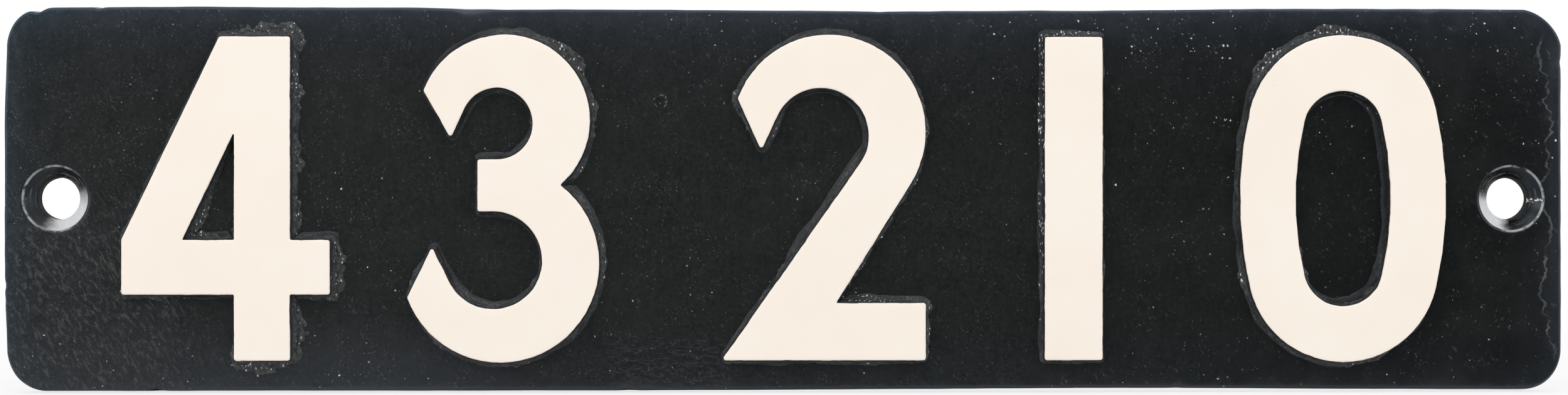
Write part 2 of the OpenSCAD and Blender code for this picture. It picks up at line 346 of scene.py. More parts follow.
def add_ramp(tree, value, low, high, start=0.0, end=1.0, kind="SMOOTHSTEP"):
    """A step from `start` to `end`, smooth or linear, while the value goes from `low` to `high`."""
    return add_node(tree, "ShaderNodeMapRange", {"Value": value, "From Min": low, "From Max": high, "To Min": start,
                                                 "To Max": end}, interpolation_type=kind).outputs[0]


# The noise that makes the edges of dots ragged, and how far it moves a place in mm
SHAKE_NOISE = {"Scale": 1.7, "Detail": 3.0, "Roughness": 0.6}
SHAKE = 1.5


class Shader:
    """A node material under construction."""

    def __init__(self, name):
        self.material = bpy.data.materials.new(name)
        self.material.use_nodes = True
        self.tree = self.material.node_tree
        self.surface = self.tree.nodes["Principled BSDF"]
        self.add = partial(add_node, self.tree)
        self.math = partial(add_math, self.tree)
        self.ramp = partial(add_ramp, self.tree)
        place = self.add("ShaderNodeTexCoord").outputs["Object"]
        self.mm = self.add("ShaderNodeVectorMath", {0: place, "Scale": 1 / MM}, operation="SCALE").outputs[0]
        self.x, self.y, self.z = self.add("ShaderNodeSeparateXYZ", {0: self.mm}).outputs

    def total(self, *terms):
        return reduce(partial(self.math, "ADD"), terms)

    def product(self, *terms):
        return reduce(partial(self.math, "MULTIPLY"), terms)

    def by_side(self, left, right):
        """One value left of the middle of the plate, and another right of it."""
        return self.ramp(self.x, -1, 1, left, right)

    def mapped(self, angle=0.0, stretch=(1, 1, 1)):
        """Places in mm, for a pattern that is stretched and then turned about Y."""
        return self.add("ShaderNodeMapping", {"Vector": self.mm, "Rotation": (0, math.radians(angle), 0),
                                              "Scale": stretch}, vector_type="TEXTURE").outputs[0]

    def mark(self, name):
        """A number that the mesh carries at its points."""
        return self.add("ShaderNodeAttribute", attribute_name=name).outputs["Fac"]

    def noise(self, size, detail=2.0, rough=0.5, where=None):
        """Noise about 0.5, with lumps about `size` mm across."""
        return self.add("ShaderNodeTexNoise", {"Vector": where or self.mm, "Scale": 1 / size, "Detail": detail,
                                               "Roughness": rough}).outputs[0]

    def shaken(self, amount, where):
        """Places that stray by up to an amount in mm."""
        stray = self.add("ShaderNodeTexNoise", {"Vector": self.mm, **SHAKE_NOISE}).outputs["Color"]
        return self.add("ShaderNodeVectorMath", {0: stray, 1: (amount, amount, amount), 2: where},
                        operation="MULTIPLY_ADD").outputs[0]

    def dots(self, pitch, radius, share, where=None):
        """Round dots of up to a radius in mm, in a share of the cells of a random pattern of that pitch, and a
        random level for each dot."""
        cells = self.add("ShaderNodeTexVoronoi", {"Vector": where or self.mm, "Scale": 1 / pitch})
        chance = self.add("ShaderNodeTexWhiteNoise", {"Vector": cells.outputs["Color"]})
        pick = self.add("ShaderNodeSeparateColor", {0: chance.outputs["Color"]})
        chosen = self.math("LESS_THAN", pick.outputs[0], share)
        size = self.math("MULTIPLY_ADD", pick.outputs[1], 0.65 * radius / pitch, 0.35 * radius / pitch)
        near = self.math("DIVIDE", cells.outputs["Distance"], size)
        return self.product(self.ramp(near, 1.0, 0.3), chosen), pick.outputs[2]

    def mix(self, share, a, b):
        """Colour a where the share is 0, and colour b where it is 1."""
        a, b = (c if isinstance(c, bpy.types.NodeSocket) else (*c, 1) for c in (a, b))
        return self.add("ShaderNodeMix", {0: share, 6: a, 7: b}, data_type="RGBA").outputs[2]

    def coated(self, colour, coats):
        """A colour under coats that are given as (share, colour), the top one last."""
        for share, paint in coats:
            colour = self.mix(share, colour, paint)
        return colour

    def done(self, colour, roughness, height, specular):
        """Joins colour, roughness and a bump height in mm to the surface, and sets its specular level."""
        bump = self.add("ShaderNodeBump", {"Height": height, "Distance": MM})
        for key, value in (("Base Color", colour), ("Roughness", roughness), ("Normal", bump.outputs[0])):
            self.tree.links.new(value, self.surface.inputs[key])
        self.surface.inputs["Specular IOR Level"].default_value = specular
        return self.material


def hole_marks(s):
    """Distance in mm from the axis of the nearer hole, its cone, a painted highlight on its rim, streaks, a painted
    glow and painted glints.
    """
    across = s.math("SUBTRACT", s.math("ABSOLUTE", s.x), abs(HOLES[0]["pos_m"][0]) / MM)
    distance = s.math("SQRT", s.total(s.math("POWER", across, 2.0), s.math("POWER", s.z, 2.0)))
    # Direction from the axis, outward and upward
    outer = s.math("DIVIDE", across, distance)
    upper = s.math("DIVIDE", s.z, distance)
    cone = s.product(s.ramp(distance, 12.4, 12.1), s.ramp(s.y, -2.0, -4.0))
    # Painted highlight: a pale rim on each hole, except on the side that faces the other hole
    rim = s.product(s.ramp(distance, 11.9, 12.2), s.ramp(distance, 13.0, 12.6), s.ramp(outer, -0.8, -0.3),
                    s.ramp(s.noise(5, 4, 0.65), 0.36, 0.56))
    turned = s.add("ShaderNodeCombineXYZ", {0: s.product(distance, 1.2), 1: outer, 2: upper}).outputs[0]
    streaks = s.product(cone, s.ramp(s.noise(1.0, 3, 0.6, turned), 0.54, 0.72))
    # Painted glow on the side of each cone that looks away from the other hole and up, wider in the left hole
    facing = s.total(s.product(outer, s.by_side(-0.67, -0.79)), s.product(upper, s.by_side(-0.74, -0.61)),
                     s.product(s.noise(3.0, 3), 0.3))
    bare = s.product(cone, s.ramp(facing, s.by_side(0.38, 0.72), 1.1))
    # Painted glints in a wandering line at the right of the right hole
    wander = s.math("MULTIPLY_ADD", s.math("SUBTRACT", s.noise(1.6, 2), 0.5), 3.0, s.z)
    cone_glints = s.product(cone, s.ramp(s.x, 284, 285), s.ramp(s.math("ABSOLUTE", s.total(wander, 0.5)), 0.6, 0.3),
                      s.ramp(s.noise(0.9, 2), 0.45, 0.56))
    return distance, cone, rim, streaks, bare, cone_glints


def right_sheet(s, hole_distance):
    """A thin sheet of paint along the right edge, and the ridge along its jagged border, which gets a painted
    highlight.
    """
    # The border's place depends on z alone: its noise is read along one line
    line = s.add("ShaderNodeCombineXYZ", {0: 7.0, 1: 3.0, 2: s.z}).outputs[0]
    off = s.math("SUBTRACT", s.x, s.total(s.product(s.noise(12, 4, 0.5, line), 22.0), 280.5))
    reach = s.product(s.ramp(s.math("ABSOLUTE", s.z), 66, 50), s.ramp(hole_distance, 12.6, 13.2))
    thick = s.ramp(s.noise(2.4, 3), 0.35, 0.68, 0.35, 1.1)
    ridge = s.product(s.ramp(s.math("DIVIDE", s.math("ABSOLUTE", off), thick), 1.0, 0.2),
                      s.ramp(s.noise(6, 3), 0.36, 0.6, 0.1, 1.0), reach)
    return s.product(s.ramp(off, -0.3, 0.3), reach), ridge


def speck_marks(s, coarse, low_left):
    """What is scattered over the ground in clusters: dim specks, painted white glints, flecks and smears."""
    glitter = s.mark("glitter")
    upper_right = s.product(s.ramp(s.x, 20, 220), s.ramp(s.z, -30, 45))
    busy = s.total(s.ramp(s.noise(17, 4, 0.65), 0.4, 0.66, 0.2, 0.8), s.product(coarse, 0.5))
    ragged = s.shaken(SHAKE, s.mm)
    specks, lit = s.dots(1.25, 0.42, s.product(busy, 0.42), ragged)
    boost = s.total(s.product(upper_right, 0.07), s.product(glitter, 0.07))
    # Painted glints: the brightest specks turn white, more of them at the upper right
    white = s.product(specks, s.ramp(s.total(lit, boost), 0.84, 1.04))
    # Flecks are flakes in clusters, and the highest of them get painted glints
    clusters = s.total(s.noise(10, 4, 0.6), s.product(glitter, s.ramp(s.x, 0, 90, 0.12, 0.04)),
                       s.ramp(s.x, -30, -260, 0.0, 0.065), s.ramp(s.x, 60, 250, 0.0, -0.045))
    flakes = s.noise(0.9, 5, 0.72, s.mapped(-35, (0.8, 0.8, 1.3)))
    flecks = s.product(s.ramp(flakes, 0.585, 0.655), s.ramp(clusters, 0.49, 0.66))
    shines = s.total(s.ramp(s.x, -60, 90, 0.06, 0.34), s.product(low_left, 0.25))
    glints, glint_lit = s.dots(1.7, 0.55, s.total(s.product(glitter, shines), s.product(upper_right, 0.05)), ragged)
    painted_shine = s.total(s.product(s.ramp(flakes, 0.68, 0.73), s.ramp(clusters, 0.55, 0.67)),
                    s.product(glints, s.ramp(glint_lit, 0.0, 0.9, 0.15, 1.0)))
    smears, _ = s.dots(3.2, 1.3, s.product(busy, 0.35), s.mapped(-40, (0.6, 1, 1.5)))
    smears = s.product(smears, s.ramp(s.noise(0.8, 3, 0.7), 0.44, 0.62))
    return specks, s.math("MAXIMUM", white, painted_shine), flecks, smears


def crater_marks(s):
    """The sunk middle of the blow hole, where shade is painted, and its ragged rim."""
    middle = (CRATER[0] + SHAKE / 2, SHAKE / 2 - GROUND, CRATER[1] + SHAKE / 2)
    distance = s.add("ShaderNodeVectorMath", {0: s.shaken(SHAKE, s.mm), 1: middle},
                     operation="DISTANCE").outputs["Value"]
    rim = s.product(s.ramp(s.math("ABSOLUTE", s.math("SUBTRACT", distance, 2.5)), 0.55, 0.1),
                    s.ramp(s.noise(1.3, 3), 0.46, 0.6))
    return s.ramp(distance, 2.2, 1.2), rim


def back_colour(s, patches, grain):
    """The back was never painted well: bare grey iron and rust show through."""
    rust = s.product(s.ramp(s.total(patches, s.product(s.noise(5, 5, 0.7), 0.6)), 0.72, 0.98),
                     s.ramp(grain, 0.34, 0.6, 0.35, 1.0))
    iron = s.mix(s.ramp(s.noise(3.0, 5, 0.7), 0.36, 0.66), (0.011, 0.0105, 0.01), (0.03, 0.0285, 0.0265))
    return s.mix(s.product(rust, 0.75), iron, (0.078, 0.04, 0.022))


def black_enamel():
    s = Shader("black_enamel")
    # Marks on the numerals' walls: where they are, where they get a painted grey sheen, and where they get painted
    # glints
    side, band, glint = s.mark("side"), s.mark("band"), s.mark("glint")
    wall = s.math("MAXIMUM", band, side)
    # Painted glints: white dots on the walls and on what ran out, where the glint mark is high
    relief_glints, relief_glint_lit = s.dots(1.0, 0.62, 1.0, s.shaken(0.9, s.mapped(0, (0.8, 1, 1.4))))
    relief_glints = s.product(relief_glints, s.ramp(s.total(relief_glint_lit, glint), 1.0, 1.25))
    # Where the sand was coarse, where a bluish reflection is painted at the lower left, and where the back is
    stray = s.math("SUBTRACT", s.noise(24, 3, 0.6), 0.5)
    coarse = s.product(s.ramp(s.total(s.x, s.product(stray, 60.0)), -205, -250),
                       s.ramp(s.total(s.z, s.product(stray, 50.0)), 16, -22))
    low_left = s.product(s.ramp(s.x, -70, -150), s.ramp(s.x, -260, -190, 0.45, 1.0), s.ramp(s.z, -38, -68))
    back = s.ramp(s.y, -2.0, -0.4)
    # Bare edges, and a painted bluish reflection along the edges, marked on the ground
    worn = s.mark("worn")
    edge_reflection = s.product(s.mark("edge_reflection"), s.ramp(s.noise(9, 4, 0.65), 0.25, 0.75, 0.86, 1.14))
    hole_distance, cone, rim, streaks, bare, cone_glints = hole_marks(s)
    sheet, ridge = right_sheet(s, hole_distance)
    specks, white, flecks, smears = speck_marks(s, coarse, low_left)
    crater_shade, crater_rim = crater_marks(s)
    # Pebbles that lean down to the right in the coarse sand: painted light on their raised parts and painted shade in
    # the dark channels between them
    pebbles = s.noise(1.0, 6, 0.7, s.mapped(-30, (1.3, 1.3, 3.3)))
    gravel = s.product(s.ramp(pebbles, 0.49, 0.63), s.ramp(s.noise(0.6, 3, 0.7), 0.36, 0.62, 0.25, 1.0))
    sand = s.mix(gravel, (0.0026, 0.0032, 0.0036), (0.06, 0.0612, 0.054))
    # Wrinkled paint at the bottom, left of the middle, with painted shade in its sunk creases
    wrinkles = s.product(s.ramp(s.noise(1.0, 4, 0.6, s.mapped(8, (4.5, 2.0, 1.7))), 0.5, 0.62),
                         s.ramp(s.math("ABSOLUTE", s.total(s.x, 45.0)), 36, 14), s.ramp(s.z, -46, -57))
    # Even paint: its grain and mottle, strokes of the brush, patches and haze
    grain = s.noise(0.9, 4, 0.7)
    mottle = s.noise(1.5, 4, 0.7)
    brushed = s.noise(1.0, 4, 0.7, s.mapped(2, (1.5, 1.5, 9.0)))
    patches = s.noise(30, 4, 0.6)
    haze = s.product(s.ramp(s.noise(1.0, 4, 0.72, s.mapped(-14, (1.4, 1.4, 2.2))), 0.52, 0.68),
                     s.ramp(s.noise(12, 3), 0.35, 0.65))
    reflection_blue = s.mix(s.ramp(s.x, -262, -288), (0.027, 0.04, 0.06), (0.014, 0.041, 0.069))
    metal = s.mix(s.ramp(worn, 0.66, 0.9), (0.1, 0.11, 0.13), (0.74, 0.75, 0.77))
    sheen_grey = s.mix(s.ramp(s.noise(1.3, 5, 0.8), 0.38, 0.66), (0.024, 0.026, 0.028), (0.13, 0.131, 0.131))
    colour = s.mix(s.ramp(grain, 0.34, 0.66), (0.0108, 0.0127, 0.0128), (0.0178, 0.0204, 0.0203))
    colour = s.mix(s.product(s.ramp(mottle, 0.34, 0.62), 0.75), (0.0062, 0.0072, 0.0074), colour)
    colour = s.coated(colour, [
        (s.product(s.ramp(brushed, 0.4, 0.64), 0.2), (0.019, 0.0216, 0.0216)),
        # Painted shade in the creases of the wrinkles
        (s.product(wrinkles, 0.5), (0.005, 0.0058, 0.006)),
        # Darker towards the right
        (s.ramp(s.x, 20, 270, 0.0, 0.74), (0.0032, 0.0038, 0.0039)),
        (s.product(s.ramp(patches, 0.42, 0.7), 0.5), (0.014, 0.0153, 0.015)),
        (s.product(haze, 0.5), (0.021, 0.0225, 0.022)),
        # Coarse sand, with painted light on its pebbles and painted shade between them
        (coarse, sand),
        (s.product(sheet, 0.14), (0.024, 0.029, 0.033)),
        # Painted bluish reflection at the lower left
        (s.product(low_left, 0.27), (0.047, 0.054, 0.068)),
        # Painted reflection: the paint turns bluish along the edges
        (edge_reflection, reflection_blue),
        (s.product(smears, 0.55), (0.048, 0.051, 0.048)),
        (s.product(flecks, 0.85), (0.085, 0.09, 0.082)),
        # Painted shade in the sunk middle of the blow hole
        (s.product(crater_shade, 0.4), (0.004, 0.0046, 0.0048)),
        (crater_rim, (0.1, 0.105, 0.098)),
        (s.product(worn, s.ramp(grain, 0.36, 0.56)), metal),
        # Painted sheen: grey on walls that look up or inward, and on what ran out
        (band, sheen_grey),
        # Painted shade on walls round their painted glints
        (s.product(glint, 0.8), (0.005, 0.006, 0.006)),
        (s.product(specks, 0.5), (0.07, 0.074, 0.072)),
        # Painted glints on the ground
        (white, (0.8, 0.81, 0.81)),
        # Painted highlight along the ridge at the right
        (s.product(ridge, 0.8), (0.085, 0.094, 0.1)),
        # Painted glints on the walls
        (relief_glints, (0.86, 0.87, 0.87)),
        # Painted shade in the countersinks
        (s.product(cone, 0.6), (0.004, 0.0045, 0.0045)),
        (s.product(streaks, 0.75), (0.11, 0.115, 0.122)),
        # Painted glow on one side of each countersink
        (s.product(bare, 0.95), (0.74, 0.75, 0.76)),
        # Painted glints in the right hole
        (cone_glints, (0.8, 0.81, 0.81)),
        # Painted highlight on the rims of the holes
        (rim, (0.34, 0.35, 0.35)),
        (back, back_colour(s, patches, grain)),
    ])
    roughness = s.total(s.ramp(s.noise(9, 4), 0.3, 0.7, 0.19, 0.27), s.product(coarse, 0.08), s.product(wall, 0.34),
                        s.product(edge_reflection, 0.1), s.product(back, 0.5), s.ramp(hole_distance, 8.6, 8.2, 0.0, 0.6))
    # What stands out from the paint or is sunk in it, with its height in mm
    rough = s.math("MAXIMUM", wall, s.ramp(edge_reflection, 0.4, 0.8))
    bumps = [(s.noise(6, 2), 0.12), (grain, 0.03), (specks, 0.1), (smears, 0.06), (s.product(coarse, pebbles), 0.55),
             (s.product(coarse, grain), 0.08), (ridge, 0.2), (sheet, 0.15), (streaks, 0.05),
             (s.product(rough, s.noise(0.8, 4, 0.65)), 0.32), (flecks, 0.05), (wrinkles, -0.12),
             (s.product(back, s.noise(2.2, 5, 0.65)), 0.7)]
    height = s.total(*[s.product(mark, level) for mark, level in bumps])
    return s.done(colour, roughness, height, 0.5)


def cream_enamel():
    s = Shader("cream_enamel")
    # How near the edge of the coat is, from 0 to 1
    rim = s.mark("rim")
    clouds = s.noise(34, 3, 0.55)
    stains = s.product(s.dots(9.0, 0.55, 0.07)[0], s.ramp(s.noise(1.2, 3), 0.4, 0.65))
    pits = s.product(s.dots(3.2, 0.22, 0.035)[0], 0.75)
    edge = s.ramp(s.total(rim, s.product(s.noise(2.2, 2), 0.5)), 0.95, 1.25)
    colour = s.mix(s.ramp(clouds, 0.3, 0.7), (0.925, 0.836, 0.741), (0.945, 0.862, 0.772))
    colour = s.coated(colour, [(s.product(stains, 0.35), (0.55, 0.42, 0.3)), (pits, (0.3, 0.26, 0.22)),
                               (s.product(edge, 0.9), (0.055, 0.052, 0.048))])
    roughness = s.ramp(s.noise(12, 3), 0.3, 0.7, 0.34, 0.46)
    height = s.total(s.product(s.noise(11, 2), 0.09), s.product(s.noise(1.6, 2), 0.012), s.product(pits, -0.08))
    return s.done(colour, roughness, height, 0.4)


# Ground of the plate

# Draft in degrees and radius in mm of the plate's edge
EDGE_DRAFT, EDGE_RADIUS = 5, 1.5
# Radius in mm of the corners, and how far the middle of each is out from that arc: side in x, side in z, mm
CORNER_RADIUS = 15.4
CORNERS = [(-1, 1, -0.6), (1, 1, -1.6), (-1, -1, -0.95), (1, -1, -0.25)]
# How far the front rolls down towards the edge, in mm at distances in from the outline
ROLL_AT = np.arange(0, 16)
ROLL = np.interp(ROLL_AT, [0, 3.6, 5.5, 8, 11], [0.42, 0.42, 0.22, 0.07, 0])


def edge_section():
    """(distance in from the outline, height above the back) from the back face to the flat ground."""
    draft = math.radians(EDGE_DRAFT)
    wall = GROUND - EDGE_RADIUS
    centre = (EDGE_RADIUS + wall * math.sin(draft)) / math.cos(draft)
    turns = np.linspace(draft, math.pi / 2, 8)
    arc = [(centre - EDGE_RADIUS * math.cos(t), wall + EDGE_RADIUS * math.sin(t)) for t in turns]
    return [(0.75, 0.0), (0.3, 0.12), (0.08, 0.55), (0.22, 2.5), (0.42, 4.8)] + arc


def plate_outline(radius):
    """Points along a rounded rectangle and their outward normals, anticlockwise as seen from the front."""
    places, normals = [], []
    half_x, half_z = LENGTH_HALF - radius, HEIGHT_HALF - radius
    corners = [(half_x, half_z, 0), (-half_x, half_z, 90), (-half_x, -half_z, 180), (half_x, -half_z, 270)]
    for k, (x, z, turn) in enumerate(corners):
        arc = np.radians(np.linspace(turn, turn + 90, round(radius * math.pi / 2 / GRID) + 1))
        normals += [(math.cos(t), math.sin(t)) for t in arc]
        places += [(x + radius * math.cos(t), z + radius * math.sin(t)) for t in arc]
        end, start = np.array(places[-1]), np.array(corners[(k + 1) % 4][:2])
        start = start + radius * np.array(normals[-1])
        count = round(np.linalg.norm(start - end) / GRID)
        for i in range(1, count):
            places.append(tuple(end + (start - end) * i / count))
            normals.append(normals[-1])
    return np.array(places), np.array(normals)


def waist(x, z):
    """How far the long edges of the casting lie inside the drawn ones."""
    above = (1.6 * bell(x - 45, 140) + 0.3 * smooth(x, 150, 298)
             + 0.5 * smooth(x, -150, -120) * smooth(x, -20, -110) + 0.4 * smooth(np.abs(x), 235, 285))
    return np.where(z > 0, above, 0.75 * bell(x - 135, 110))


def cast_outline(x, z):
    """The true outline of the casting: waisted and uneven, and never outside the drawn one."""
    share_x, share_z = np.abs(x) / LENGTH_HALF, np.abs(z) / HEIGHT_HALF
    wave = 0.28 * (noise(x, z * 0.2, 26, 3) + 1) / 2 + 0.16 * (noise(x, z * 0.2, 7, 4) + 1) / 2
    # The top edge has two notches near its left end, and the bottom edge is straighter
    notches = 1.9 * bell(x + 284.6, 2.6) + 0.6 * bell(x + 261.5, 1.6)
    new_z = z - np.sign(z) * (waist(x, z) + np.where(z > 0, wave + notches, 0.45 * wave)) * share_z ** 8
    wave = 0.32 * (noise(x * 0.2, z, 22, 5) + 1) / 2 + 0.2 * (noise(x * 0.2, z, 6, 6) + 1) / 2
    # The left end bows out in the middle
    bow = np.where(x < 0, 1.15 * smooth(np.abs(z), 28, 62), 0.2)
    new_x = x - np.sign(x) * (wave + bow) * share_x ** 60
    return new_x, new_z


def painted_edge_reflection(x, z):
    """How strong the painted bluish reflection is, from the distances to the four edges in mm."""
    across = np.maximum(LENGTH_HALF - 0.6 - np.abs(x), 0)
    up = np.maximum(HEIGHT_HALF - 0.6 - waist(x, z) - np.abs(z), 0)
    left = 0.34 * np.exp(-across / 1.8) + 0.22 * np.exp(-across / 8)
    right = 0.56 * np.exp(-across / 1.5) + 0.24 * np.exp(-across / 6)
    top = 0.4 * np.exp(-up / 1.5) + 0.52 * np.exp(-up / 9)
    low = 0.16 * np.exp(-up / 1.8) + 0.14 * np.exp(-up / 10)
    return np.where(x < 0, left, right) + np.where(z > 0, top, low)


# Middle of a blow hole in the casting: x, z
CRATER = (-47.8, 37.0)
# Chips in the edges, facets worn on the top edge, and lumps: x, z, reach and depth or height
CHIPS = [(-298.5, -33.0, 1.6, 0.6), (-298.8, -38.5, 1.2, 0.5), (-240.0, -73.5, 2.0, 0.6), (298.5, 52.0, 1.6, 0.5),
         (36.0, 73.4, 1.8, 0.5), (-60.0, -73.4, 2.4, 0.5), (150.0, -73.4, 1.8, 0.5)]
FACETS = [(-120, 74, 6.5, 1.3), (-66, 75, 3.5, 0.6), (176, 75, 4.0, 0.6), (246, 74, 5.0, 0.7), (270, 74.5, 4.5, 0.8),
          (8, 73.5, 3.5, 0.5)]
LUMPS = [(255, 64, 1.3, 0.55), (262, 62, 0.9, 0.45), (236, 66, 1.0, 0.4), (243, 67.5, 0.8, 0.4), (277, 58, 1.1, 0.4),
         (-270, 58, 1.1, 0.45), (-276, 45, 0.9, 0.35), (-258, 30, 0.9, 0.3), (228, 27, 1.3, 0.4), (231, 22, 0.9, 0.3),
         (-28, -24, 1.1, 0.4), (-31, 10, 0.9, 0.35), (-150, 52, 1.2, 0.4), (-60, -57, 1.0, 0.35), (130, 21, 0.9, 0.35)]
# Places where the mould let iron or paint run out round a numeral: x, z, reach and strength
FLASH = [(-194, 62, 15, 1.0), (-187, 38, 11, 0.85), (-187, 14, 9, 0.6), (-187, -6, 9, 0.9), (-171, -27, 12, 1.1),
         (-186, -52, 12, 0.7), (-198, -64, 10, 1.0), (-214, -62, 9, 0.8), (-245, -40, 10, 0.35), (-84, 52, 13, 0.85),
         (-73, 32, 11, 0.65), (-76, 10, 8, 0.4), (-71, -28, 13, 0.5), (-98, -64, 10, 0.35), (-137, -28, 8, 0.4),
         (-222, -8, 9, 0.5), (48, 46, 12, 0.3), (55, 24, 9, 0.2), (-18, 34, 9, 0.4), (58, -44, 8, 0.35),
         (20, -62, 10, 0.25), (186, 52, 13, 0.8), (206, 64, 11, 0.75), (252, 20, 9, 0.3), (178, -30, 10, 0.3),
         (112, 63, 9, 0.3), (198, -26, 10, 0.35)]
# Parts of the ground with many specks, dim flecks and painted glints: x, z, reach and strength
GLITTER = [(259, 68, 9, 0.8), (280, 66, 8, 0.7), (144, 67, 8, 1.0), (153, 60, 7, 0.7), (165, 56, 7, 0.6),
           (155, 49, 7, 0.6), (170, 28, 8, 0.8), (118, 67, 6, 0.5), (178, 67, 7, 0.5), (150, 17, 7, 0.4),
           (-140, 20, 8, 0.7), (-134, 11, 7, 0.5), (-162, -3, 8, 0.7), (165, -68, 6, 0.6), (252, 26, 7, 0.6),
           (83, 64, 6, 0.5), (-262, 34, 9, 0.5), (-35, -20, 8, 0.4), (-60, 2, 9, 0.4), (-67, -48, 7, 0.4),
           (-158, -20, 8, 0.6), (-160, -48, 8, 0.7), (-152, -62, 8, 0.9), (-172, -67, 6, 0.8), (-250, -70, 7, 0.8),
           (-228, -70, 7, 0.8), (-205, -70, 6, 0.6), (-33, 63, 8, 0.7), (2, 66, 8, 0.6), (-17, 50, 8, 0.6),
           (-257, 14, 12, 0.8), (-286, 18, 8, 0.7), (-241, 10, 9, 0.6)]
# Walls with painted glints, darkened round them with painted shade: x, z, reach and strength
GLINTS = [(100, 54, 16, 1.0), (100, 30, 20, 0.95), (100, -5, 22, 0.65), (52, 30, 12, 0.5), (216, 63, 9, 0.7),
          (-190, 48, 14, 0.35), (-171, -27, 10, 0.4), (-84, 52, 10, 0.35), (222, 40, 8, 0.3), (26, -38, 14, 0.8),
          (-206, -62, 10, 0.35), (-137, 32, 7, 0.4), (186, 52, 9, 0.35), (-112, -2, 8, 0.4)]


def spots(places, x, z):
    """The strongest of some round patches at each place."""
    return np.max([amount * bell(np.hypot(x - px, z - pz), reach) for px, pz, reach, amount in places], axis=0)


def ground_height(x, z):
    """Height of the cast ground over the drawn one in mm."""
    height = 0.14 * noise(x, z, 55, 11) + 0.08 * noise(x, z, 19, 12) + 0.035 * noise(x, z, 6, 13)
    coarse = smooth(-x, 200, 250) * smooth(-z, -16, 22)
    turn = math.radians(30)
    u, v = x * math.cos(turn) + z * math.sin(turn), -x * math.sin(turn) + z * math.cos(turn)
    height += coarse * (0.12 * noise(u / 2.6, v / 6.0, 1.0, 14) + 0.06 * noise(x, z, 3, 15))
    ring = np.hypot(x - CRATER[0], z - CRATER[1])
    height += 0.38 * bell(ring - 2.4, 0.8) - 0.25 * bell(ring, 1.3)
    for place_x, place_z, reach, amount in LUMPS:
        height += amount * bell(np.hypot(x - place_x, z - place_z), reach)
    return height


def flash_height(x, z, near):
    """Height over the drawn ground of what ran out at a distance from a numeral, and how much of it there is."""
    strength = np.maximum(0.08, spots(FLASH, x, z)) + 0.16 * noise(x, z, 18, 16)
    lobes = 0.48 * noise(x, z, 6.5, 17) + 0.34 * noise(x, z, 3.0, 24) + 0.26 * noise(x, z, 1.5, 27)
    much = 1 - near / np.maximum(0.4, 0.6 + 5.8 * strength) + lobes
    body = smooth(much, 0.0, 0.36)
    skin = (0.3 + 0.3 * strength + 0.24 * noise(x, z, 2.1, 25) + 0.15 * noise(x, z, 1.2, 26)
            + 0.5 * bell(much - 0.4, 0.14) * strength)
    sunk = 0.4 + 1.8 * smooth(np.abs(z), 65.5, 69.5)
    return ground_height(x, z) - sunk + (0.4 + skin) * body, body


# Section of a countersunk hole with a worn, rounded rim: (distance out from the bore, height from the ground)
COUNTERSINK = [(0, -5.2), (0.12, -4.8), (0.4, -4.4), (2.4, -2.4), (4.2, -0.6), (4.45, -0.35), (4.7, -0.16),
               (5.0, -0.02), (6.5, 0.4), (6.5, 4.0)]


def hole_cutter(hole):
    """Points and faces of a closed tool for a countersunk hole."""
    bore = hole["dims"]["r_mm"]
    profile = [(bore, -2.0)] + [(bore + out, GROUND + up) for out, up in COUNTERSINK]
    turns = np.linspace(0, 2 * math.pi, HOLE_SIDES, endpoint=False)
    centre = np.array(hole["pos_m"]) / MM
    points, faces = [], []
    for radius, height in profile:
        uneven = radius + 0.06 * np.sin(3 * turns + centre[0]) + 0.04 * np.sin(5 * turns + 2)
        points += np.column_stack([centre[0] + uneven * np.cos(turns), np.full(HOLE_SIDES, height),
                                   centre[2] + uneven * np.sin(turns)]).tolist()
    for level in range(len(profile) - 1):
        faces += ring_faces(level * HOLE_SIDES, (level + 1) * HOLE_SIDES, HOLE_SIDES)
    faces.append(tuple(range(HOLE_SIDES))[::-1])
    faces.append(tuple(range(len(points) - HOLE_SIDES, len(points))))
    return points, faces


def cut_holes(ground, material):
    for hole in HOLES:
        cutter = make_piece("cutter", *hole_cutter(hole), material)
        cut = ground.modifiers.new("hole", "BOOLEAN")
        cut.solver = "MANIFOLD"
        cut.operation = "DIFFERENCE"
        cut.object = cutter
        bpy.context.view_layer.update()
        mesh = bpy.data.meshes.new_from_object(ground.evaluated_get(bpy.context.evaluated_depsgraph_get()))
        ground.modifiers.clear()
        ground.data = mesh
        bpy.data.objects.remove(cutter)


def uneven_corners(x, z):
    """Places that are moved at the corners: the upper right is the widest, and the lower right is the tightest."""
    for corner_x, corner_z, swell in CORNERS:
        dx = corner_x * x - (LENGTH_HALF - CORNER_RADIUS)
        dz = corner_z * z - (HEIGHT_HALF - CORNER_RADIUS)
        reach = np.hypot(dx, dz)
        turn = np.arctan2(np.maximum(dz, 0), np.maximum(dx, 1e-6))
        push = np.where((dx > 0) & (dz > 0), swell * np.sin(2 * turn) * (reach / CORNER_RADIUS) ** 2, 0)
        x = x + corner_x * push * np.cos(turn)
        z = z + corner_z * push * np.sin(turn)
    return x, z


